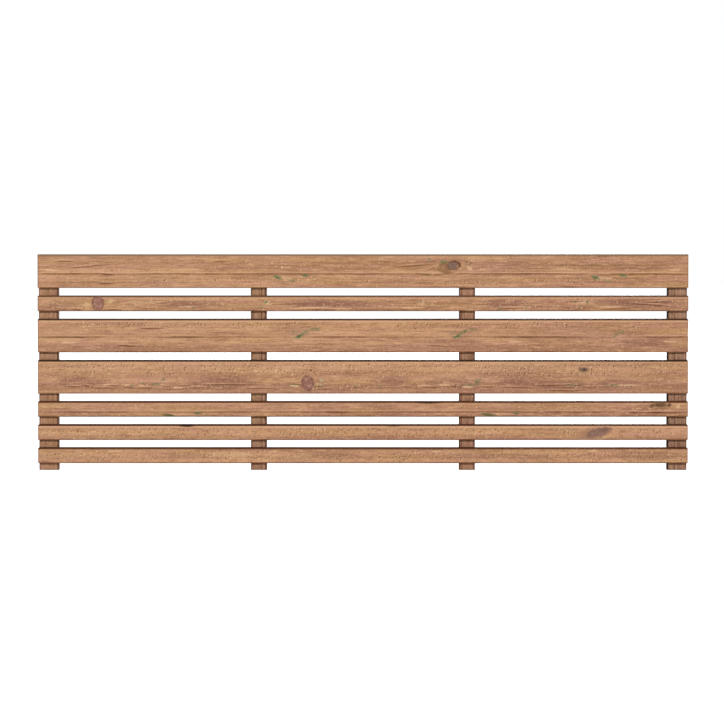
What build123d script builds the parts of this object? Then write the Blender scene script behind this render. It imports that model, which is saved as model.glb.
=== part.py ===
from build123d import *
import os

# A slatted wooden fence panel: boards of two widths run across four upright battens,
# and wire staples hold each board from behind, driven through the batten.
# Millimetres. X runs along the boards, Z is up and the boards' faces look along -Y.
# The origin is midway along the panel, at the battens' feet, where boards meet battens.

# Driving dimensions of the panel
panel_length = 1800.0
panel_height = 600.0
wide_height = 93.0
narrow_height = 43.0
board_thickness = 20.0
batten_thickness = 20.0
end_batten_width = 54.0
inner_batten_width = 44.0
batten_top_drop = 10.0  # the battens stop this far below the top board's upper edge
arris_radius = 2.0  # eased edge along every planed board and batten
end_arris = 1.5  # broken edge round each board's sawn ends

# Driving dimensions of one staple, bent from flat wire
crown_width = 12.0
leg_length = 35.0
wire_thickness = 1.5
wire_width = 1.8
crown_chamfer = 0.6  # the bends at the crown's ends
point_length = 3.0  # chisel-cut point of each leg
crown_sink = 0.3  # the crown lies this far under the batten's back face

# Where the staples go at one crossing of a board and a batten
stagger = 9.0  # sideways from the batten's middle line, so that the pair shares no grain line
pair_rise = 23.0  # up and down from a wide board's middle line

# The boards from the top down
board_names = [
    "board_1_wide",
    "board_2_narrow",
    "board_3_wide",
    "board_4_wide",
    "board_5_narrow",
    "board_6_narrow",
    "board_7_narrow",
]
heights = {
    name: wide_height if name.endswith("wide") else narrow_height for name in board_names
}

# One equal gap under every board, the lowest one included, which leaves the feet showing
gap = (panel_height - sum(heights.values())) / len(board_names)

# The end battens lie flush with the boards' ends, and the bays between the four are equal
bays = 3
bay_width = (panel_length - 2 * end_batten_width - 2 * inner_batten_width) / bays
end_x = (panel_length - end_batten_width) / 2
inner_x = (bay_width + inner_batten_width) / 2
battens = {
    "left_end": (-end_x, end_batten_width),
    "left_inner": (-inner_x, inner_batten_width),
    "right_inner": (inner_x, inner_batten_width),
    "right_end": (end_x, end_batten_width),
}
batten_height = panel_height - batten_top_drop


def board_middles():
    """The height of each board's middle line, from the top board down."""
    middles = {}
    top = panel_height
    for name in board_names:
        middles[name] = top - heights[name] / 2
        top -= heights[name] + gap
    return middles


def make_board(height, middle):
    """A planed board with eased edges, sawn square and its end edges broken."""
    section = Plane.YZ * Pos(-board_thickness / 2, middle) * RectangleRounded(
        board_thickness, height, arris_radius
    )
    board = extrude(section, panel_length / 2, both=True)
    return chamfer(board.faces().filter_by(Axis.X).edges(), end_arris)


def make_batten(x, width):
    """A planed batten with eased edges, standing on its square-cut foot."""
    section = Pos(x, batten_thickness / 2) * RectangleRounded(
        width, batten_thickness, arris_radius
    )
    return extrude(section, batten_height)


def bent_wire(crown_top, corner):
    """Flat wire bent to a U with its legs along -Y, cut to a chisel point at each tip."""
    outer = crown_width / 2
    inner = outer - wire_thickness
    right = [
        (outer - corner, crown_top),
        (outer, crown_top - corner),
        (outer, -leg_length),
        (inner, point_length - leg_length),
        (inner, -wire_thickness),
    ]
    left = [(-x, y) for x, y in reversed(right)]
    outline = make_face(Polyline(*right, *left, close=True))
    return extrude(outline, wire_width / 2, both=True)


def make_staple():
    """One staple, with the top of its crown on the XZ plane."""
    return bent_wire(0, crown_chamfer)


def make_staple_slot():
    """The space that a driven staple takes in the wood, open to the batten's back."""
    groove_chamfer = crown_sink  # the wood closes in a little over the ends of the crown
    return bent_wire(crown_sink, groove_chamfer)


def staple_places(name, middle):
    """The (x, z) of each staple of one board, from the left end batten to the right."""
    places = []
    for x, _ in battens.values():
        if heights[name] == wide_height:
            inward = stagger if x < 0 else -stagger  # mirrored about the panel's middle
            places += [(x - inward, middle + pair_rise), (x + inward, middle - pair_rise)]
        else:
            places += [(x, middle)]
    return places


def at(place, shape):
    """The shape, moved so that the crown lies just under the batten's back face at place."""
    x, z = place
    return Pos(x, batten_thickness - crown_sink, z) * shape


middles = board_middles()
places = {name: staple_places(name, middles[name]) for name in board_names}
staple = make_staple()
slot = make_staple_slot()

parts = {}
for name in board_names:
    board = make_board(heights[name], middles[name])
    parts[name] = board - [at(place, slot) for place in places[name]]

for name, (x, width) in battens.items():
    reach = width / 2
    crossing = [
        place for row in places.values() for place in row if abs(place[0] - x) < reach
    ]
    parts[f"{name}_batten"] = make_batten(x, width) - [at(place, slot) for place in crossing]

for name in board_names:
    parts[f"{name}_staples"] = Compound(children=[at(place, staple) for place in places[name]])

os.makedirs("parts", exist_ok=True)
for node, shape in parts.items():
    export_step(shape, f"parts/{node}.step")
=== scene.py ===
import math

import bpy
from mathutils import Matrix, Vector


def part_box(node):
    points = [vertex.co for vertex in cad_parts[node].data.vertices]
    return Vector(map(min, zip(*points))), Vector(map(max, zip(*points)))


# Dresses a slatted fence panel of brown treated pine, and sets the studio round it.
# Metres in the scene, millimetres in the dictionaries and in every wood pattern.

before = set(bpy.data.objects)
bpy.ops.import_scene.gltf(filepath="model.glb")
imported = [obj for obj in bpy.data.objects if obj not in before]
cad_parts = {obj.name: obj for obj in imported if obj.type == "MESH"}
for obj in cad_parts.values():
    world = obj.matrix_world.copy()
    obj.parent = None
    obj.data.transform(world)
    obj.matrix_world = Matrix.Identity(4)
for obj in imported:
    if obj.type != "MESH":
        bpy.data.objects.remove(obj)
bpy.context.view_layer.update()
print("frame loaded:", len(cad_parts), "nodes")


def linear(hexColour):
    # sRGB hex to the linear values that a shader takes
    shades = [int(hexColour[i:i + 2], 16) / 255 for i in (1, 3, 5)]
    return [s / 12.92 if s <= 0.04045 else ((s + 0.055) / 1.055) ** 2.4 for s in shades] + [1]


def addNode(tree, kind, links=None, **settings):
    made = tree.nodes.new("ShaderNode" + kind)
    for name, value in settings.items():
        setattr(made, name, value)
    for socket, value in (links or {}).items():
        if isinstance(value, bpy.types.NodeSocket):
            tree.links.new(value, made.inputs[socket])
        else:
            made.inputs[socket].default_value = value
    return made.outputs


def calc(tree, operation, *values):
    # arithmetic on numbers
    return addNode(tree, "Math", dict(enumerate(values)), operation=operation)[0]


def move(tree, operation, *values):
    # arithmetic on places
    return addNode(tree, "VectorMath", dict(enumerate(values)), operation=operation)[0]


def distance(tree, place):
    return addNode(tree, "VectorMath", {0: place}, operation="LENGTH")["Value"]


def ramp(tree, value, low, high, least=0, most=1, smooth=False):
    # least where the value is low, most where it is high
    return addNode(tree, "MapRange", {
        "Value": value, "From Min": low, "From Max": high, "To Min": least, "To Max": most,
    }, interpolation_type="SMOOTHSTEP" if smooth else "LINEAR")[0]


def overlay(tree, share, under, over):
    # a share of one colour laid over another
    return addNode(tree, "Mix", {0: share, 6: under, 7: over}, data_type="RGBA")[2]


def startMaterial(name):
    material = bpy.data.materials.new(name)
    material.use_nodes = True
    material.node_tree.nodes.clear()
    return material, material.node_tree


def dress(node, material):
    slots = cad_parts[node].data.materials
    slots.clear()
    slots.append(material)


# Pine, planed and pressure-treated brown: a tan ground with browner growth lines along the grain,
# rosy and ochre patches, short dark resin flecks, pale ticks of clean wood, mauve heartwood
# and green copper stains.
pine = {
    "roughness": (0.58, 0.76),
    "ior": 1.5,
    "specular": 0.03,           # the stain leaves hardly any shine
    "reliefDepth": 0.35,
    "reliefStrength": 0.6,
    "ringWidth": 5.5,
    "ringShare": 0.2,
    "partRound": 0.6,           # how strongly the grain parts round a knot
    "wave": (420, 3),           # how long and how high the grain wanders
    "ripple": (75, 1.2),
    "nearly": 0.3,              # of that for the long lines
    "ragged": (60, 0, 8),       # how far a patch's edge wanders along the grain and across it
    "crooked": (8, 0, 6),       # how far a fleck is bent, likewise
    "dash": (9, 5),             # one fleck at most in each cell of this length and width
    "dashSize": 0.4,            # of its cell
    "dashLean": 60,             # of a fleck from the grain, in degrees
    "dashGap": 3.4,             # from a fleck to the pale wood beside it
    "tick": (9, 5.5),           # as for the flecks
    "tickSize": 0.42,
    "gather": 0.7,              # how much likelier both are where the lists say they gather
    "lineGap": 4.5,             # from a dark growth line up to the pale wood beside it
    "copperDepth": (1.5, 0.5),  # how deep the copper goes, and to where it is full
}
# the noises of the grain: length, width, step from the plank's seed, detail
grainNoises = {
    "drift": (260, 60, 71, 1),      # slow changes of tone
    "band": (420, 20, 37, 1),       # broad bands
    "cloud": (50, 11, 83, 1),       # soft patches
    "hue": (210, 17, 43, 1),        # rosy and ochre patches
    "streak": (170, 4.8, 23, 2),    # brown streaks
    "fibre": (32, 3.2, 11, 1),      # fibres, drawn coarser than real ones to show
    "speck": (7, 4.2, 51, 1),       # mottle, coarser too
    "pore": (5, 9, 97, 1),          # pores that stipple the face, coarser too
    "fray": (30, 5, 63, 1),         # bends in the edges of patches
}
# how the placed marks fade: full inside this share of their half length
markCores = {"lines": 0.3, "mauve": 0.35, "bright": 0.3, "copper": 0.3, "flecked": 0.5}
# stains, painted shade and a painted highlight along the edges: how far from the edge each begins and is
# full
edgeBands = {
    "crest": (10, 7.5), "top": (5.4, 3.1), "bottom": (4.3, 1.6), "end": (4, 1.5), "endGrain": (0.3, 0.05),
}
edgeShares = {"top": 0.92, "end": 0.5, "endGrain": 0.7}
knotLook = {
    "ragged": 0.45,             # how far the outline wanders, against the knot's half length
    "ringShare": 0.3,           # of the rim's colour in the rings
    "rimFrom": 0.5,             # where the rim begins, from the knot's middle to its outline
    "rimShare": 0.9,
    "litShare": 0.6,            # of the lit colour in the specks
}
boardTones = {
    "pale": "#DAAB86", "brown": "#956950", "rosy": "#C6907B", "ochre": "#C69B67", "growth": "#6B4029",
    "mauve": "#8E6353", "fleck": "#573823", "tick": "#EDC798", "copper": "#627B52", "deepCopper": "#3A4A2E",
    "endEdge": "#8A5028", "endGrain": "#8A6046",
}
# the batten palette is browner than the boards', partly for the wood and partly as painted shade for battens
# set behind the boards
battenTones = dict(
    boardTones, pale="#C99C7C", brown="#80573F", rosy="#B48774", ochre="#B28B60", endEdge="#5E3E2C",
)


def ovalSpace(tree, where, x, z, length, height, rise):
    # places measured from an oval's middle, 1 at its outline; it goes right through the plank
    return addNode(tree, "Mapping", {
        "Vector": where,
        "Location": (x, 0, z),
        "Rotation": (0, -math.radians(rise), 0),
        "Scale": (length / 2, 1e6, height / 2),
    }, vector_type="TEXTURE")[0]


def layMarks(tree, where, marks, core):
    # the strongest of several soft ovals along the grain, as a mask from 0 to 1
    mask = 0.0
    for x, z, length, height, rise, strength in marks:
        reach = distance(tree, ovalSpace(tree, where, x, z, length, height, rise))
        mark = ramp(tree, reach, 1, core, 0, strength, smooth=True)
        mask = calc(tree, "MAXIMUM", mask, mark)
    return mask


def stretchedNoise(tree, where, length, width, seed, detail=1):
    # noise drawn out along the grain
    drawn = move(
        tree, "MULTIPLY_ADD", where, (1 / length, 1 / width, 1 / width), (seed, 0.7 * seed, 1.3 * seed),
    )
    return addNode(tree, "TexNoise", {"Vector": drawn, "Scale": 1, "Detail": detail})


def bendRound(tree, where, across, knots):
    # the growth lines part round each knot and close again beyond it
    for knot in knots:
        if not knot["draw"]:
            continue
        x, z = knot["at"]
        length, height = knot["size"]
        local = ovalSpace(tree, where, x, z, length * knot["draw"], height, knot["rise"])
        away = addNode(tree, "VectorMath", {0: local, 1: local}, operation="DOT_PRODUCT")["Value"]
        away = calc(tree, "MAXIMUM", away, 1)
        above = calc(tree, "SUBTRACT", across, z)
        bend = calc(tree, "DIVIDE", above, away)
        across = calc(tree, "MULTIPLY_ADD", bend, -pine["partRound"], across)
    return across


def drawKnot(tree, where, knot, tint, speck):
    # a ragged oval with rings, darker or paler towards its rim, and lit specks in it
    reach = distance(tree, ovalSpace(tree, where, *knot["at"], *knot["size"], knot["rise"]))
    wobble = calc(tree, "SUBTRACT", speck, 0.5)
    reach = calc(tree, "MULTIPLY_ADD", wobble, knotLook["ragged"], reach)
    inside = ramp(tree, reach, 1 + knot["soft"], 1 - knot["soft"], 0, knot["strength"], smooth=True)
    rings = calc(tree, "MULTIPLY", reach, knot["rings"] * math.tau)
    rings = ramp(tree, calc(tree, "SINE", rings), -1, 1, 0, knotLook["ringShare"])
    rim = ramp(tree, reach, knotLook["rimFrom"], 1, 0, knotLook["rimShare"], smooth=True)
    rim = calc(tree, "MAXIMUM", rings, rim)
    body = overlay(tree, rim, linear(knot["heart"]), linear(knot["rim"]))
    lit = ramp(tree, speck, 0.48, 0.66, 0, knotLook["litShare"])
    body = overlay(tree, lit, body, linear(knot["lit"]))
    return overlay(tree, inside, tint, body)


def plankSpace(tree, plank):
    # millimetres along the grain, through the plank and across it from its own middle line
    place = addNode(tree, "TexCoord")["Object"]
    place = move(tree, "MULTIPLY", place, (1000, 1000, 1000))
    axes = addNode(tree, "SeparateXYZ", {0: place})
    across = axes["Z" if plank["along"] == "X" else "X"]
    return axes[plank["along"]], axes["Y"], calc(tree, "SUBTRACT", across, plank["middle"])


def grainSpaces(tree, plank, along, depth, across):
    # straight, as the grain wanders and parts round the knots, and nearly straight
    straight = addNode(tree, "CombineXYZ", {0: along, 1: depth, 2: across})[0]
    flow = bendRound(tree, straight, across, plank["knots"])
    nearly = across
    for length, height in (pine["wave"], pine["ripple"]):
        sway = stretchedNoise(tree, straight, length, length / 5, plank["seed"] + height)[0]
        sway = calc(tree, "SUBTRACT", sway, 0.5)
        flow = calc(tree, "MULTIPLY_ADD", sway, 2 * height, flow)
        nearly = calc(tree, "MULTIPLY_ADD", sway, 2 * pine["nearly"] * height, nearly)
    grain = addNode(tree, "CombineXYZ", {0: along, 1: depth, 2: flow})[0]
    nearly = addNode(tree, "CombineXYZ", {0: along, 1: depth, 2: nearly})[0]
    return straight, grain, nearly


def growthRings(tree, grain, heart):
    # rings round a heart behind the plank's face, seen as arcs on the sawn ends
    fromHeart = move(tree, "SUBTRACT", grain, (0, *heart))
    fromHeart = move(tree, "MULTIPLY", fromHeart, (0, 1, 1))
    ring = calc(tree, "DIVIDE", distance(tree, fromHeart), pine["ringWidth"])
    return ramp(tree, calc(tree, "FRACT", ring), 0.45, 0.95, 0, pine["ringShare"], smooth=True)


def placedMarks(tree, plank, depth, grain, nearly, noises):
    # the marks listed for the plank: long lines lie nearly straight, and patches have ragged edges
    streak, fibre, speck = (noises[kind][0] for kind in ("streak", "fibre", "speck"))
    ragged = move(tree, "SUBTRACT", noises["fray"][1], (0.5, 0.5, 0.5))
    ragged = move(tree, "MULTIPLY_ADD", ragged, pine["ragged"], grain)
    halfRagged = move(tree, "MULTIPLY", move(tree, "ADD", ragged, grain), (0.5, 0.5, 0.5))
    spaces = {"lines": nearly, "mauve": ragged, "bright": halfRagged, "copper": nearly, "flecked": ragged}
    masks = {kind: layMarks(tree, space, plank[kind], markCores[kind]) for kind, space in spaces.items()}
    beside = move(tree, "SUBTRACT", nearly, (0, 0, pine["lineGap"]))
    masks["beside"] = layMarks(tree, beside, plank["lines"], markCores["lines"])

    # streaks mottle the heartwood, fibres break the lines, and copper lies patchy on the front face
    deepest, full = (plank["face"] + deep for deep in pine["copperDepth"])
    for kind, share in (
        ("mauve", ramp(tree, streak, 0.35, 0.6, 0.65, 1)),
        ("lines", ramp(tree, fibre, 0.35, 0.55, 0.7, 1)),
        ("copper", ramp(tree, depth, deepest, full)),
        ("copper", ramp(tree, speck, 0.35, 0.55, 0.4, 1)),
    ):
        masks[kind] = calc(tree, "MULTIPLY", masks[kind], share)
    masks["deepCopper"] = calc(tree, "MULTIPLY", masks["copper"], ramp(tree, fibre, 0.54, 0.44))
    return masks


def scatteredFlecks(tree, plank, grain, speckColour, masks):
    # a short crooked dash in some of the cells, in more of them where they gather, with a pale
    # one beside it, and pale ticks of their own
    crooked = move(tree, "SUBTRACT", speckColour, (0.5, 0.5, 0.5))
    crooked = move(tree, "MULTIPLY_ADD", crooked, pine["crooked"], grain)
    leaning = addNode(tree, "Mapping", {
        "Vector": crooked, "Rotation": (0, -math.radians(pine["dashLean"]), 0),
    }, vector_type="TEXTURE")[0]
    aside = move(tree, "ADD", leaning, (0, 0, pine["dashGap"]))
    seed = plank["seed"]
    spots = {}
    for kind, space, (length, width), size, gathered in (
        ("fleck", leaning, pine["dash"], pine["dashSize"], masks["flecked"]),
        ("besideFleck", aside, pine["dash"], pine["dashSize"], masks["flecked"]),
        ("tick", crooked, pine["tick"], pine["tickSize"], masks["bright"]),
    ):
        celled = move(tree, "MULTIPLY_ADD", space, (1 / length, 1 / width, 1 / width), (seed, seed, seed))
        cells = addNode(tree, "TexVoronoi", {"Vector": celled, "Scale": 1})
        spot = ramp(tree, cells["Distance"], size, size * 0.4, smooth=True)
        often = calc(tree, "MULTIPLY_ADD", gathered, pine["gather"], plank["flecks"])
        chance = addNode(tree, "SeparateXYZ", {0: cells["Color"]})[0]
        kept = ramp(tree, calc(tree, "SUBTRACT", often, chance), 0, 0.3)
        spots[kind] = calc(tree, "MULTIPLY", spot, kept)
    return spots


def stainEdges(tree, plank, tones, toRight, across, fibre, tint):
    # painted shade along the long edges: over the top face and upper arris, with a painted highlight of pale
    # wood just below it, and in dashes along the bottom arris; on a batten it lies on the two side faces.
    # The sawn ends are darker.
    fromTop = calc(tree, "SUBTRACT", plank["width"] / 2, across)
    fromBottom = calc(tree, "ADD", plank["width"] / 2, across)
    fromEnd = calc(tree, "SUBTRACT", plank["length"] / 2, calc(tree, "ABSOLUTE", toRight))
    dashed = ramp(tree, fibre, 0.35, 0.6, plank["leastStain"], plank["bottomStain"])
    for edge, away, share, colour in (
        # the crest is a painted highlight: pale wood just under the top edge
        ("crest", fromTop, plank["crest"], tones["pale"]),
        # the top tone is painted shade on the top face and upper arris
        ("top", fromTop, edgeShares["top"], plank["topTone"]),
        # the bottom tone is painted shade along the bottom arris, broken into dashes by the fibres
        ("bottom", fromBottom, dashed, plank["bottomTone"]),
        ("end", fromEnd, edgeShares["end"], tones["endEdge"]),
        ("endGrain", fromEnd, edgeShares["endGrain"], tones["endGrain"]),
    ):
        stain = ramp(tree, away, *edgeBands[edge], 0, share, smooth=True)
        tint = overlay(tree, stain, tint, linear(colour))
    return tint


def treatedPine(name, plank, tones):
    material, tree = startMaterial(name)
    along, depth, across = plankSpace(tree, plank)
    toRight = calc(tree, "SUBTRACT", along, plank["centre"])
    straight, grain, nearly = grainSpaces(tree, plank, along, depth, across)
    noises = {
        kind: stretchedNoise(tree, grain, length, width, plank["seed"] + step, detail)
        for kind, (length, width, step, detail) in grainNoises.items()
    }
    masks = {kind: noise[0] for kind, noise in noises.items()}
    masks.update(toRight=toRight, ring=growthRings(tree, grain, plank["heart"]))
    masks.update(placedMarks(tree, plank, depth, grain, nearly, noises))
    masks.update(scatteredFlecks(tree, plank, grain, noises["speck"][1], masks))

    # each layer is a mask, the values between which it comes in, its share and its colour
    tip = plank["length"] / 2
    # the fade shares paint a light falloff: paler towards the plank's left end, browner towards its right
    # end
    leftFade, rightFade = plank["fade"]
    pores, fleckShare = plank["pores"], plank["fleckShare"]
    tint = linear(plank["ground"])
    for mask, low, high, share, colour in (
        ("toRight", 0, -tip, leftFade, "pale"), ("toRight", 0, tip, rightFade, "brown"),
        ("drift", 0.5, 0.68, 0.42, "brown"), ("drift", 0.5, 0.32, 0.48, "pale"),
        ("band", 0.52, 0.7, 0.45, "brown"), ("band", 0.48, 0.3, 0.4, "pale"),
        ("hue", 0.5, 0.65, 0.45, "rosy"), ("hue", 0.5, 0.35, 0.45, "ochre"),
        ("cloud", 0.55, 0.72, 0.3, "pale"), ("cloud", 0.42, 0.28, 0.22, "brown"),
        ("streak", 0.57, 0.7, 0.42, "brown"), ("streak", 0.43, 0.3, 0.3, "pale"),
        ("ring", 0, 1, 1, "growth"), ("mauve", 0, 1, 1, "mauve"),
        ("fibre", 0.58, 0.72, 0.66, "brown"), ("fibre", 0.42, 0.28, 0.55, "pale"),
        ("speck", 0.57, 0.72, 0.42, "brown"), ("speck", 0.43, 0.28, 0.42, "pale"),
        ("pore", 0.57, 0.72, pores, "brown"), ("pore", 0.43, 0.28, pores, "pale"),
        ("bright", 0, 1, 0.5, "pale"), ("bright", 0.5, 1, 0.42, "tick"),
        ("beside", 0, 1, 0.5, "pale"), ("lines", 0, 1, 0.95, "growth"),
        ("besideFleck", 0, 1, 0.7 * fleckShare, "tick"), ("fleck", 0, 1, fleckShare, "fleck"),
        ("tick", 0, 1, 0.75, "tick"),
        ("copper", 0, 1, 1, "copper"), ("deepCopper", 0.2, 0.9, 0.6, "deepCopper"),
    ):
        layer = ramp(tree, masks[mask], low, high, 0, share)
        tint = overlay(tree, layer, tint, linear(tones[colour]))
    tint = stainEdges(tree, plank, tones, toRight, across, masks["fibre"], tint)
    for knot in plank["knots"]:
        tint = drawKnot(tree, straight, knot, tint, masks["speck"])

    # fibres and streaks stand a hair proud, growth lines and flecks lie a hair below them
    relief = masks["fibre"]
    for mask, height in (("streak", 0.6), ("lines", -0.5), ("fleck", -0.4)):
        relief = calc(tree, "MULTIPLY_ADD", masks[mask], height, relief)
    bump = addNode(tree, "Bump", {
        "Height": relief, "Strength": pine["reliefStrength"], "Distance": pine["reliefDepth"] / 1000,
    })[0]
    shader = addNode(tree, "BsdfPrincipled", {
        "Base Color": tint, "Roughness": ramp(tree, masks["fibre"], 0, 1, *pine["roughness"]),
        "Normal": bump, "IOR": pine["ior"], "Specular IOR Level": pine["specular"],
    })[0]
    addNode(tree, "OutputMaterial", {"Surface": shader})
    return material


def dressPlank(node, plank, tones):
    # the plank's place and size come from the CAD
    low, high = ([1000 * metres for metres in corner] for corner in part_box(node))
    along, across = (0, 2) if plank["along"] == "X" else (2, 0)
    plank.update(
        middle=(low[across] + high[across]) / 2, width=high[across] - low[across],
        centre=(low[along] + high[along]) / 2, length=high[along] - low[along], face=low[1],
    )
    dress(node, treatedPine("planed treated pine " + node, plank, tones))
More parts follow.
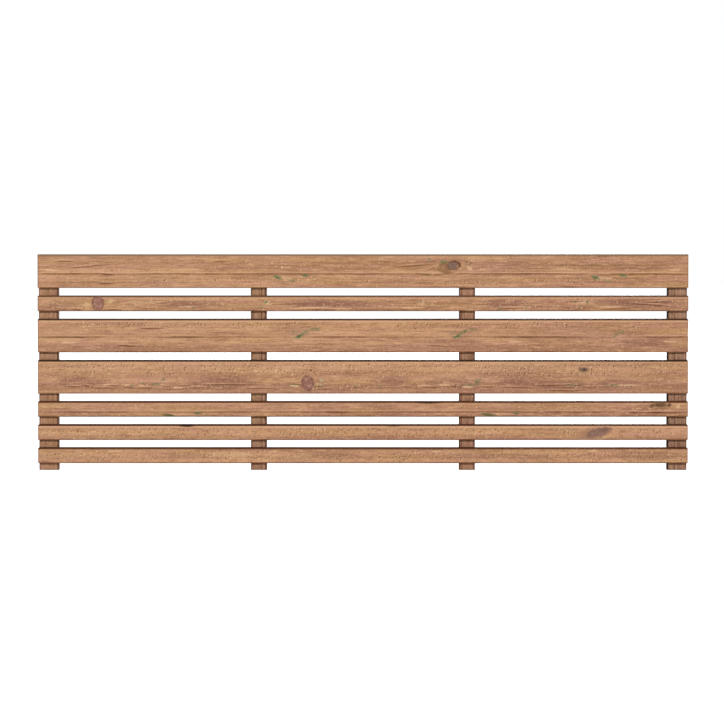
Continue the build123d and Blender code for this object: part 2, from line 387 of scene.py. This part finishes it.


# Marks on a board are (x, z, length, height, rise in degrees, strength): x from the panel's middle
# and z from the board's own middle line.
# Each board's top tone is painted shade on its top face and upper arris: darkest where the board above
# shades it, lighter on the unshaded top board.
boards = {
    "board_1_wide": {
        "seed": 3.0, "ground": "#C3946D", "fade": (0.26, 0.24), "crest": 0,
        "topTone": "#866B50", "bottomStain": 0.6, "heart": (34, 15), "pores": 0.15,
        "knots": [
            {"at": (228, 10), "size": (36, 30), "rise": 0, "draw": 1.5, "rings": 2.0, "soft": 0.3,
             "heart": "#8A6446", "rim": "#80603F", "lit": "#9C744E", "strength": 0.9},
            {"at": (221, 8), "size": (13, 17), "rise": 8, "draw": 0, "rings": 1.0, "soft": 0.35,
             "heart": "#B08862", "rim": "#8E6C48", "lit": "#BA926C", "strength": 0.5},
            {"at": (252, 16.5), "size": (38, 26), "rise": 0, "draw": 1.8, "rings": 1.0, "soft": 0.14,
             "heart": "#4E3021", "rim": "#5E3C26", "lit": "#66442E", "strength": 0.9},
            {"at": (249.5, 15), "size": (34, 22), "rise": -6, "draw": 0, "rings": 1.0, "soft": 0.18,
             "heart": "#83675E", "rim": "#765646", "lit": "#957766", "strength": 0.95},
            {"at": (262, 12), "size": (8, 13), "rise": 12, "draw": 0, "rings": 1.0, "soft": 0.35,
             "heart": "#A67C5A", "rim": "#946A4C", "lit": "#B48A66", "strength": 0.75},
            {"at": (289, 13), "size": (9, 5), "rise": -40, "draw": 0, "rings": 1.0, "soft": 0.4,
             "heart": "#E0B88E", "rim": "#D2A880", "lit": "#E6C298", "strength": 0.65},
            {"at": (299, 6), "size": (9, 6), "rise": -20, "draw": 0, "rings": 1.0, "soft": 0.4,
             "heart": "#DFB68B", "rim": "#D0A67E", "lit": "#E6C298", "strength": 0.65},
            {"at": (-704, 3), "size": (22, 9), "rise": 4, "draw": 2.0, "rings": 1.0, "soft": 0.2,
             "heart": "#CDA27A", "rim": "#9A6E4F", "lit": "#DDB48A", "strength": 0.6},
        ],
        "lines": [
            (0, -8, 2600, 4.5, 0, 0.75), (-800, -7.5, 300, 5.5, 0, 0.9), (-708, -9, 60, 7, -4, 0.95),
            (-480, -8, 500, 5, 0, 0.9), (-60, -8, 560, 5, 0, 0.85), (168, -8.5, 60, 7.5, -4, 0.95),
            (206, -11, 60, 5, -3, 0.9), (480, -8, 560, 5, 0, 0.95), (790, -8, 400, 5.5, 0, 0.95),
            (-222, 16, 240, 3.5, 0, 0.45), (675, 16, 450, 3.5, 0, 0.5),
            (-823, 27, 90, 5, 0, 0.75), (-393, 27, 70, 4.5, 0, 0.7), (54, 27, 80, 4.5, 0, 0.65),
            (-757, 13, 135, 4.5, 5, 0.85), (136, 14, 150, 4.5, 4, 0.85), (-714, -34, 70, 7, 0, 0.7),
            (186, 5, 46, 3.5, 24, 0.6), (188, 27, 40, 3.5, 8, 0.5), (209, 5, 22, 4, -60, 0.8),
            (240, -4, 50, 4, 6, 0.7), (661, 42, 46, 7, 0, 0.9), (575, -44, 74, 6, 0, 0.7),
        ],
        "mauve": [
            (-714, -30, 90, 16, 0, 0.4), (560, -38, 80, 10, 0, 0.5), (300, 18, 500, 30, 0, 0.3),
            (640, 15, 420, 34, 0, 0.35), (810, 12, 70, 20, 15, 0.45), (420, 10, 360, 70, 0, 0.55),
            (-580, -22, 280, 42, 0, 0.3), (310, -20, 280, 50, 0, 0.45), (630, -22, 200, 42, 0, 0.4),
        ],
        "bright": [
            (-866, 4, 64, 10, 0, 0.9), (-476, 4, 150, 8, 0, 0.8), (250, 1, 34, 6, 0, 1.0),
            (294, 9, 24, 14, -20, 1.0), (190, -2, 40, 9, 14, 0.7), (-212, -21, 70, 20, -8, 0.7),
            (668, -21, 66, 20, -8, 0.7), (340, 6, 90, 10, 0, 0.6), (560, 6, 90, 10, 0, 0.6),
            (866, 5, 60, 9, 0, 0.8), (-250, 18, 240, 52, 0, 0.4), (-150, -25, 150, 32, 0, 0.35),
        ],
        "flecked": [(-300, -28, 900, 22, 0, 0.5), (420, -28, 700, 22, 0, 0.5), (290, 20, 30, 20, 0, 1.0)],
        "copper": [
            (-236, -17, 36, 13, -22, 1.0), (-197, -26, 36, 12, -10, 0.5), (-160, -12, 30, 9, -6, 1.0),
            (-134, -17, 16, 6, -6, 0.5), (643, -18, 36, 13, -22, 1.0), (676, -27, 36, 12, -10, 0.5),
            (720, -12, 34, 9, -6, 1.0), (224, 25, 31, 14, 0, 1.0), (182, 33, 20, 9, 0, 0.6),
            (168, -10, 20, 5, 0, 0.5), (-752, 40, 14, 7, 0, 0.4),
        ],
    },
    "board_2_narrow": {
        "seed": 7.0, "ground": "#BE8F6B", "fade": (0.3, 0.34), "crest": 0.4,
        "topTone": "#5E4230", "bottomStain": 0.95, "heart": (28, -6), "pores": 0.2,
        "knots": [
            {"at": (-733, -1), "size": (34, 42), "rise": 8, "draw": 1.1, "rings": 2.0, "soft": 0.1,
             "heart": "#9C7062", "rim": "#7A5044", "lit": "#BC9280", "strength": 0.95},
            {"at": (-702, 5), "size": (26, 13), "rise": 4, "draw": 0, "rings": 1.0, "soft": 0.4,
             "heart": "#DDB68A", "rim": "#C9A172", "lit": "#7F7048", "strength": 0.6},
            {"at": (-764, -4), "size": (18, 14), "rise": 0, "draw": 0, "rings": 1.0, "soft": 0.4,
             "heart": "#DCB488", "rim": "#CFA67A", "lit": "#E2BC92", "strength": 0.7},
        ],
        "lines": [
            (-600, 9, 200, 4, 0, 0.4), (60, -16, 300, 4, 0, 0.5), (-845, -6, 70, 5, -4, 0.5),
            (-846, 5, 40, 4, -25, 0.5), (-215, -2, 180, 4, 2, 0.5), (480, -8, 240, 4, -2, 0.5),
            (600, 6, 150, 4, 3, 0.5), (790, -4, 180, 5, -4, 0.8), (-480, -12, 90, 4, 0, 0.5),
            (-733, -19, 30, 6, 0, 0.9), (-690, -17, 60, 5, 0, 0.8), (-800, -17, 70, 5, 0, 0.8),
            (-120, -17, 130, 5, 0, 0.8), (400, -14, 70, 5, 0, 0.8), (700, -15, 120, 5, 2, 0.85),
            (820, 5, 120, 4, 5, 0.7), (-540, 2, 110, 4, 3, 0.6), (330, -2, 60, 5, 0, 0.6),
        ],
        "mauve": [
            (-478, -3, 240, 27, 0, 0.9), (-90, -1, 340, 36, 0, 0.95), (395, 2, 200, 34, 0, 0.95),
            (765, 3, 350, 42, 0, 1.0), (600, -12, 150, 14, 0, 0.55), (-840, -8, 160, 26, 0, 0.6),
            (180, -12, 130, 14, 0, 0.5),
        ],
        "bright": [
            (-152, -12, 200, 6, 2, 1.0), (680, -9, 120, 6, 2, 1.0), (133, -11, 95, 7, 0, 0.9),
            (-775, -11, 60, 6, 0, 0.9), (-265, 0, 34, 18, 0, 0.9), (162, 1, 34, 18, 0, 0.8),
            (613, 3, 70, 20, 0, 0.7), (-698, 6, 26, 16, 0, 0.9), (-490, -10, 90, 6, 0, 0.9),
            (440, -9, 120, 5, 0, 0.9), (-60, -14, 120, 5, 0, 0.8), (-610, 6, 150, 24, 0, 0.6),
            (-480, 12, 180, 12, 0, 0.45), (180, 9, 100, 16, 0, 0.5),
        ],
        "flecked": [
            (-720, -15, 300, 12, 0, 1.0), (-140, -16, 400, 11, 0, 1.0), (480, -15, 400, 12, 0, 1.0),
            (600, 6, 120, 24, 0, 0.9), (-440, 0, 90, 24, 0, 0.7), (-265, 0, 60, 24, 0, 0.9),
            (162, 0, 60, 24, 0, 0.9),
        ],
        "copper": [
            (-697, 7, 14, 8, 0, 0.5), (-268, 3, 18, 10, 20, 0.9), (-281, -11, 16, 6, 0, 0.6),
            (160, 3, 14, 7, 20, 0.6), (621, 4, 20, 9, 20, 0.6), (603, -9, 16, 7, 0, 0.6),
            (588, 5, 14, 7, 0, 0.6), (-470, -11, 24, 5, 0, 0.6), (450, -10, 30, 5, 0, 0.6),
            (378, -16, 24, 5, 0, 0.6),
        ],
    },
    "board_3_wide": {
        "seed": 13.0, "ground": "#C4956D", "fade": (0.7, 0.36), "crest": 0.75,
        "topTone": "#2A0A00", "bottomStain": 0.95, "heart": (36, -20), "pores": 0.2,
        "knots": [],
        "lines": [
            (0, -4, 2600, 6, 0, 0.4), (-800, -4, 280, 8.5, 0, 0.75), (-500, -4, 240, 8.5, 0, 0.8),
            (-60, -4, 290, 8.5, 0, 0.75), (470, -4, 440, 8.5, 0, 0.8), (835, -4, 220, 8.5, 0, 0.8),
            (-589, 20, 90, 7, 0, 0.95), (-131, 21, 46, 4, 0, 0.8), (308, 21, 46, 4, 0, 0.7),
            (-655, -28, 80, 5, -4, 0.85), (203, -28, 110, 5, -3, 0.7), (-180, 21, 60, 3, 0, 0.4),
        ],
        "mauve": [
            (-725, -29, 70, 16, 0, 0.5), (-190, -20, 60, 16, 0, 0.35), (0, -35, 3600, 38, 0, 0.55),
            (560, 0, 560, 70, 0, 0.45), (-190, 16, 160, 56, 0, 0.5), (270, 4, 80, 40, 0, 0.3),
            (250, -20, 260, 44, 0, 0.75), (780, -20, 240, 46, 0, 0.85),
        ],
        "bright": [
            (-814, -18, 80, 9, 0, 0.9), (-358, -18, 60, 7, 0, 0.7), (420, -17, 64, 8, 0, 0.7),
            (-156, 12, 34, 12, 25, 0.6), (-180, -16, 40, 9, 0, 0.8), (600, -17, 70, 8, 0, 0.6),
            (-500, -16, 90, 8, 0, 0.6), (850, -18, 60, 8, 0, 0.7), (-790, 22, 260, 46, 0, 0.4),
        ],
        "flecked": [(-450, 30, 950, 28, 0, 0.8), (450, 30, 950, 28, 0, 0.8), (740, 14, 60, 30, 0, 0.8)],
        "copper": [
            (-162, 8, 58, 14, 32, 0.65), (-177, -2, 34, 14, 18, 0.95), (-131, 17, 46, 11, 0, 0.6),
            (275, 8, 58, 14, 32, 0.65), (261, -2, 34, 14, 18, 0.8), (304, 17, 40, 10, 0, 0.5),
            (709, 8, 58, 15, 32, 0.42), (694, -2, 30, 13, 18, 0.36), (-190, 8, 30, 14, 20, 0.35),
            (248, 8, 30, 14, 20, 0.35),
        ],
    },
    "board_4_wide": {
        "seed": 19.0, "ground": "#C6976F", "fade": (0.4, 0.3), "crest": 0.4,
        "topTone": "#160500", "bottomStain": 0.6, "heart": (40, 5), "pores": 0.3,
        "knots": [
            {"at": (-153, -17), "size": (34, 45), "rise": 12, "draw": 1.1, "rings": 2.0, "soft": 0.12,
             "heart": "#986A5D", "rim": "#714A3F", "lit": "#BD9482", "strength": 0.95},
            {"at": (611, 20), "size": (30, 14), "rise": 0, "draw": 1.8, "rings": 0.5, "soft": 0.45,
             "heart": "#57483E", "rim": "#84695A", "lit": "#6A584C", "strength": 0.85},
            {"at": (613, 20.5), "size": (8, 5.5), "rise": 0, "draw": 0, "rings": 0.5, "soft": 0.4,
             "heart": "#2A221E", "rim": "#362C27", "lit": "#443830", "strength": 0.8},
            {"at": (-114, -8.5), "size": (13, 13), "rise": 0, "draw": 1.2, "rings": 1.0, "soft": 0.25,
             "heart": "#C9AC8C", "rim": "#6E6A4E", "lit": "#D4B898", "strength": 0.8},
        ],
        "lines": [
            (-380, -22, 200, 5, 0, 0.7), (540, -24, 190, 5, 0, 0.8), (560, -38, 120, 6, 0, 0.9),
            (568, -31, 90, 4.5, 0, 0.6),
            (80, -30, 200, 4, 0, 0.6), (-178, -22, 24, 5, 0, 0.8), (-120, -27, 44, 5, 0, 0.7),
            (-110, -34, 60, 5, 0, 0.6), (-800, -27, 60, 5, 0, 0.8), (-720, -31, 90, 4, 0, 0.7),
            (640, -29, 120, 4, 0, 0.6), (-300, -32, 160, 4, 0, 0.6), (420, -30, 120, 5, 0, 0.7),
            (-765, -25, 42, 5, -6, 0.9), (-690, -24, 48, 4.5, 0, 0.9), (-650, -29, 44, 4.5, 0, 0.85),
            (-600, -31, 60, 4.5, 0, 0.8), (-540, -27, 50, 4.5, 0, 0.85), (-497, -24, 40, 4.5, 0, 0.8),
            (-455, -30, 60, 5, 0, 0.8), (120, -27, 50, 4.5, 0, 0.8), (190, -29, 60, 4.5, 0, 0.85),
            (260, -27, 44, 4.5, 0, 0.8), (345, -28, 50, 4.5, 0, 0.8), (-20, -29, 40, 5, 0, 0.8),
        ],
        "mauve": [
            (-779, -17, 190, 54, 0, 0.85), (-385, -18, 300, 56, 0, 0.95), (75, -13, 150, 46, 0, 0.8),
            (430, -14, 220, 56, 0, 0.85), (545, -24, 230, 46, 0, 1.0), (0, -30, 3600, 40, 0, 0.6),
            (430, 6, 340, 76, 0, 0.6), (800, -10, 200, 50, 0, 0.35), (250, -19, 260, 46, 0, 0.8),
            (710, -20, 200, 46, 0, 0.8),
        ],
        "bright": [
            (-712, -21, 44, 6, 0, 1.0), (-655, -22, 50, 6, 0, 1.0), (-610, -25, 40, 6, 0, 1.0),
            (-560, -21, 50, 6, 0, 1.0), (-510, -29, 50, 6, 0, 1.0), (160, -23, 50, 6, 0, 1.0),
            (225, -22, 60, 6, 0, 1.0), (290, -27, 50, 6, 0, 1.0), (728, -22, 120, 7, 0, 0.9),
            (-186, -23, 40, 6, 0, 1.0), (0, 27, 3600, 30, 0, 0.3), (-122, -18, 30, 10, 0, 0.9),
            (-235, 20, 280, 50, 0, 0.62), (-690, 20, 240, 44, 0, 0.45),
        ],
        "flecked": [
            (0, 22, 3600, 46, 0, 0.8), (-500, -26, 360, 16, 0, 1.0), (-770, -28, 180, 16, 0, 0.9),
            (230, -26, 260, 16, 0, 1.0), (-60, -26, 240, 16, 0, 0.8), (640, -26, 280, 18, 0, 0.9),
        ],
        "copper": [
            (-553, -7, 22, 10, 15, 0.8), (-575, -20, 44, 8, 0, 0.7), (-611, -17, 18, 7, 0, 0.5),
            (-640, -24, 20, 7, 0, 0.5), (318, -12, 28, 13, 30, 0.65), (300, -22, 70, 8, 0, 0.5),
            (575, -21, 40, 6, 0, 0.7), (690, -22, 60, 6, 0, 0.7), (-190, -21, 50, 6, 0, 0.6),
            (-120, -22, 36, 6, 0, 0.6), (-18, -25, 20, 8, 0, 0.6), (46, -25, 16, 8, 0, 0.5),
        ],
    },
    "board_5_narrow": {
        "seed": 29.0, "ground": "#B0825F", "fade": (0.3, 0.24), "crest": 0.2,
        "topTone": "#4E2612", "bottomStain": 0.85, "heart": (30, 4), "pores": 0.1,
        "knots": [
            {"at": (824, 12), "size": (48, 13), "rise": 0, "draw": 2.6, "rings": 1.5, "soft": 0.45,
             "heart": "#5C422C", "rim": "#806041", "lit": "#96724F", "strength": 0.9},
            {"at": (800, 9), "size": (16, 10), "rise": 30, "draw": 0, "rings": 1.0, "soft": 0.4,
             "heart": "#6C4A34", "rim": "#8E684E", "lit": "#523622", "strength": 0.85},
            {"at": (848, 11), "size": (12, 10), "rise": 50, "draw": 0, "rings": 1.0, "soft": 0.4,
             "heart": "#60402C", "rim": "#86624A", "lit": "#A88260", "strength": 0.85},
            {"at": (180, 18.4), "size": (66, 5.5), "rise": 0, "draw": 0, "rings": 0.5, "soft": 0.5,
             "heart": "#2E1408", "rim": "#3E200F", "lit": "#3E200F", "strength": 0.85},
            {"at": (-540, -17), "size": (34, 8), "rise": -8, "draw": 0, "rings": 0.5, "soft": 0.5,
             "heart": "#4A4A2A", "rim": "#5A5632", "lit": "#5E6A42", "strength": 0.75},
            {"at": (350, -16), "size": (40, 8), "rise": -6, "draw": 0, "rings": 0.5, "soft": 0.5,
             "heart": "#4E4C2C", "rim": "#5E5A36", "lit": "#5E6A42", "strength": 0.65},
            {"at": (-122, 4), "size": (30, 9), "rise": 0, "draw": 1.8, "rings": 1.0, "soft": 0.2,
             "heart": "#C29470", "rim": "#9E7254", "lit": "#D0A37C", "strength": 0.5},
        ],
        "lines": [
            (0, -8, 2600, 5, 0, 0.65), (-730, -8, 340, 5.5, 0, 0.85), (-69, -8, 180, 6.5, 0, 0.95),
            (230, -8, 460, 5.5, 0, 0.8), (590, -8, 300, 5.5, 0, 0.85), (820, -9, 200, 7, 0, 0.95),
            (-140, 19, 90, 6, 0, 0.5), (180, 20, 70, 7, 0, 0.9), (748, -9, 40, 8, 0, 1.0),
            (762, 9, 40, 3.5, 20, 0.7), (764, -1, 44, 3.5, -12, 0.7), (822, 3, 80, 4, 0, 0.5),
            (700, 4, 60, 3, 3, 0.4),
        ],
        "mauve": [
            (-420, 5, 120, 18, 0, 0.3), (430, -3, 560, 20, 0, 0.35), (-90, 4, 130, 26, 0, 0.35),
            (800, 0, 220, 36, 0, 0.5), (40, 6, 150, 32, 0, 0.6), (-240, 8, 130, 26, 0, 0.45),
            (-835, -8, 180, 28, 0, 0.6), (-345, -8, 180, 24, 0, 0.5), (110, -9, 220, 24, 0, 0.5),
            (515, -8, 150, 26, 0, 0.65),
        ],
        "bright": [
            (792, 5, 12, 10, 0, 1.0), (838, 15, 10, 7, 0, 1.0), (874, 9, 20, 13, 0, 1.0),
            (764, 4, 30, 8, 0, 0.8), (-880, 6, 40, 10, -20, 0.8), (-640, 4, 70, 12, 0, 0.6),
            (-510, -14, 120, 7, 0, 0.7), (385, -14, 110, 7, 0, 0.7), (-850, -14, 60, 6, 0, 0.6),
            (400, 9, 220, 18, 0, 0.4), (-580, 10, 320, 16, 0, 0.35),
        ],
        "flecked": [(230, 19, 60, 8, 0, 0.9), (810, 11, 50, 14, 0, 0.9)],
        "copper": [
            (-532, -17, 36, 9, -10, 1.0), (-568, -11, 24, 8, 0, 0.4), (-458, -11, 32, 9, 0, 1.0),
            (-436, -16, 14, 6, 0, 0.5), (343, -15, 50, 9, -8, 1.0), (424, -11, 32, 9, 0, 1.0),
            (446, -15, 14, 6, 0, 0.4),
        ],
    },
    "board_6_narrow": {
        "seed": 31.0, "ground": "#CC9B71", "fade": (0.24, 0.24), "crest": 0.95,
        "topTone": "#421C08", "bottomStain": 0.95, "heart": (26, -3), "pores": 0.25,
        "knots": [
            {"at": (638, -4), "size": (92, 34), "rise": 13, "draw": 1.1, "rings": 0.5, "soft": 0.5,
             "heart": "#9A735F", "rim": "#AC8268", "lit": "#A87E66", "strength": 0.75},
            {"at": (652, 0), "size": (68, 23), "rise": 14, "draw": 0, "rings": 0.5, "soft": 0.28,
             "heart": "#87685F", "rim": "#7C5A4E", "lit": "#9B7A6C", "strength": 0.85},
            {"at": (674, 8), "size": (28, 9), "rise": 14, "draw": 0, "rings": 0.5, "soft": 0.4,
             "heart": "#6E4C44", "rim": "#745248", "lit": "#866458", "strength": 0.4},
            {"at": (-488, 18.6), "size": (44, 6.8), "rise": 0, "draw": 0, "rings": 0.5, "soft": 0.4,
             "heart": "#1C0E08", "rim": "#2E1A0E", "lit": "#2E1A0E", "strength": 0.9},
            {"at": (85, 18.6), "size": (42, 6.8), "rise": 0, "draw": 0, "rings": 0.5, "soft": 0.4,
             "heart": "#2A160C", "rim": "#3A2012", "lit": "#3A2012", "strength": 0.5},
        ],
        "lines": [],
        "mauve": [(-664, -10, 60, 16, 0, 0.6), (540, 0, 260, 34, 0, 0.4), (0, -13, 3600, 18, 0, 0.45)],
        "bright": [
            (-195, 14, 180, 6, 0, 0.9), (241, 14, 130, 6, 0, 0.9), (-745, 1, 40, 7, 0, 0.7),
            (670, -9, 60, 5, 14, 0.9), (780, 14, 160, 5, 0, 0.7), (-640, 8, 460, 18, 0, 0.45),
            (-165, 8, 260, 18, 0, 0.5),
        ],
        "flecked": [(0, 0, 3600, 40, 0, 0.75)],
        "copper": [],
    },
    "board_7_narrow": {
        "seed": 41.0, "ground": "#D5A57C", "fade": (0.6, 0.4), "crest": 0,
        "topTone": "#4E2A16", "bottomStain": 0.9, "heart": (33, 7), "pores": 0.2,
        "knots": [],
        "lines": [],
        "mauve": [
            (-515, 0, 150, 34, 0, 0.5), (-85, 1, 170, 34, 0, 0.6), (310, -2, 210, 32, 0, 0.5),
            (-190, -8, 150, 26, 0, 0.5), (460, -8, 220, 26, 0, 0.5),
            (800, 0, 240, 34, 0, 0.55), (330, 17, 300, 8, 0, 0.4), (-20, 17, 200, 8, 0, 0.4),
        ],
        "bright": [
            (-684, 12, 56, 8, 0, 1.0), (-249, 12, 42, 8, 0, 1.0), (204, 12, 52, 8, 0, 1.0),
            (633, 12, 50, 8, 0, 1.0), (-600, 0, 200, 18, 0, 0.4), (-200, 0, 200, 18, 0, 0.4),
            (500, 4, 160, 16, 0, 0.4), (-360, 5, 200, 32, 0, 0.75), (220, 8, 280, 20, 0, 0.4),
            (-800, -4, 200, 34, 0, 0.45),
        ],
        "flecked": [(0, -2, 3600, 38, 0, 0.7)],
        "copper": [],
    },
}
boardWidths = {"wide": {"flecks": 0.12, "fleckShare": 0.75}, "narrow": {"flecks": 0.2, "fleckShare": 0.6}}

for node, board in boards.items():
    # the bottom tone and its stain shares are painted shade on the bottom arris
    board.update(along="X", bottomTone="#6C4020", leastStain=0.6, **boardWidths[node.split("_")[-1]])
    dressPlank(node, board, boardTones)
print("boards dressed:", len(boards))

# The battens are cut from the same pine, upright, and a shade browner, partly their own tone and partly
# painted shade for their place behind the boards. Their marks run past both ends, at these distances across
# from the batten's middle line.
# Each batten's two side tones, left and right, are painted shade on its side faces, darkest on the inner
# sides.
battens = {
    "left_end_batten": {
        "seed": 53.0, "ground": "#C29473", "sides": ("#8A644A", "#6E4C38"),
        "heart": (-14, 6), "lines": (), "bright": (20,),
    },
    "left_inner_batten": {
        "seed": 59.0, "ground": "#A48068", "sides": ("#5E3E2C", "#5E3E2C"),
        "heart": (-12, -8), "lines": (8,), "bright": (-4, 14),
    },
    "right_inner_batten": {
        "seed": 61.0, "ground": "#B0866B", "sides": ("#4A2C1C", "#5E3E2C"),
        "heart": (-16, 4), "lines": (-15,), "bright": (4,),
    },
    "right_end_batten": {
        "seed": 67.0, "ground": "#A2826F", "sides": ("#120502", "#86634C"),
        "heart": (-13, -5), "lines": (-7,), "bright": (20,),
    },
}
battenRun = {"middle": 300, "length": 1400}
battenMarks = {"lines": (5.5, 0.75), "bright": (6, 0.35)}     # width and strength
for node, batten in battens.items():
    for kind, (width, strength) in battenMarks.items():
        batten[kind] = [
            (battenRun["middle"], across, battenRun["length"], width, 0, strength) for across in batten[kind]
        ]
    # the side tones go on the batten's side faces as painted shade
    leftTone, rightTone = batten["sides"]
    batten.update(
        along="Z", bottomTone=leftTone, topTone=rightTone, leastStain=0.95, bottomStain=0.95, crest=0,
        flecks=0.08, fleckShare=0.85, pores=0.3, fade=(0, 0), knots=[], mauve=[], flecked=[], copper=[],
    )
    dressPlank(node, batten, battenTones)
print("battens dressed:", len(battens))

# Galvanised steel wire: a dull silver with a faint mottle where the zinc set
zinc = {"bright": "#B9BCBC", "dull": "#8E9293", "spangle": 0.8, "roughness": (0.32, 0.5)}


def galvanisedWire(name):
    material, tree = startMaterial(name)
    place = addNode(tree, "TexCoord")["Object"]
    mottle = addNode(tree, "TexNoise", {
        "Vector": place, "Scale": 1000 / zinc["spangle"], "Detail": 2,
    })[0]
    tint = overlay(tree, mottle, linear(zinc["bright"]), linear(zinc["dull"]))
    rough = ramp(tree, mottle, 0, 1, *zinc["roughness"])
    shader = addNode(tree, "BsdfPrincipled", {
        "Base Color": tint, "Metallic": 1, "Roughness": rough,
    })[0]
    addNode(tree, "OutputMaterial", {"Surface": shader})
    return material


wire = galvanisedWire("galvanised steel wire")
for node in boards:
    dress(node + "_staples", wire)
print("staples dressed")

# White studio: a floor and a world that look plain white, with the light from the front,
# and weaker lamps for the panel's back and its two ends
studio = {
    "floorSize": 30,
    "floorColour": "#F4F4F4",
    "floorGlow": 0.84,
    "ambient": 0.2,
    "aim": (0, 0, 0.3),
    "lamps": {
        "key": {"at": (0.3, -7.5, 2.75), "size": 0.7, "power": 396},
        "backFill": {"at": (1.8, 7.4, 1.6), "size": 2.0, "power": 280},
        "leftFill": {"at": (-7.2, 0.5, 1.5), "size": 1.0, "power": 130},
        "rightFill": {"at": (7.2, 0.5, 1.5), "size": 1.0, "power": 130},
    },
}


def whiteSeen(tree):
    # 1 for the rays that show the background itself, or show it in metal or glass
    path = addNode(tree, "LightPath")
    seen = path["Is Camera Ray"]
    for ray in ("Is Glossy Ray", "Is Transmission Ray"):
        seen = calc(tree, "MAXIMUM", seen, path[ray])
    return seen


side = studio["floorSize"] / 2
floorMesh = bpy.data.meshes.new("floor")
floorMesh.from_pydata(
    [(-side, -side, 0), (side, -side, 0), (side, side, 0), (-side, side, 0)], [], [(0, 1, 2, 3)]
)
floor = bpy.data.objects.new("floor", floorMesh)
bpy.context.scene.collection.objects.link(floor)
floorPaint, tree = startMaterial("matt white floor")
glow = calc(tree, "MULTIPLY", whiteSeen(tree), studio["floorGlow"])
paint = addNode(tree, "BsdfPrincipled", {
    "Base Color": linear(studio["floorColour"]), "Roughness": 0.9, "Specular IOR Level": 0,
    "Emission Color": (1, 1, 1, 1), "Emission Strength": glow,
})[0]
addNode(tree, "OutputMaterial", {"Surface": paint})
floorMesh.materials.append(floorPaint)

world = bpy.data.worlds.new("studio white")
world.use_nodes = True
bpy.context.scene.world = world
tree = world.node_tree
tree.nodes.clear()
level = calc(tree, "MULTIPLY_ADD", whiteSeen(tree), 1 - studio["ambient"], studio["ambient"])
sky = addNode(tree, "Background", {"Color": (1, 1, 1, 1), "Strength": level})[0]
addNode(tree, "OutputWorld", {"Surface": sky})

for name, lamp in studio["lamps"].items():
    light = bpy.data.lights.new(name, "AREA")
    light.size = lamp["size"]
    light.energy = lamp["power"]
    lit = bpy.data.objects.new(name, light)
    lit.location = lamp["at"]
    lit.rotation_euler = (Vector(studio["aim"]) - lit.location).to_track_quat("-Z", "Y").to_euler()
    bpy.context.scene.collection.objects.link(lit)
print("studio lit")

# Camera: far off and a little above the panel, as the photograph's nearly flat view shows
view = {
    "at": (-0.0026, -5.09, 0.6912),
    "tiltDown": 1.0,
    "lens": 91.21,
    "sensor": 36,
    "shiftY": -0.15,
}
cameraData = bpy.data.cameras.new("camera")
cameraData.lens = view["lens"]
cameraData.sensor_width = view["sensor"]
cameraData.shift_y = view["shiftY"]
camera = bpy.data.objects.new("camera", cameraData)
camera.location = view["at"]
camera.rotation_euler = (math.radians(90 - view["tiltDown"]), 0, 0)
bpy.context.scene.collection.objects.link(camera)
bpy.context.scene.camera = camera
bpy.context.scene.view_settings.view_transform = "Standard"
print("camera set")
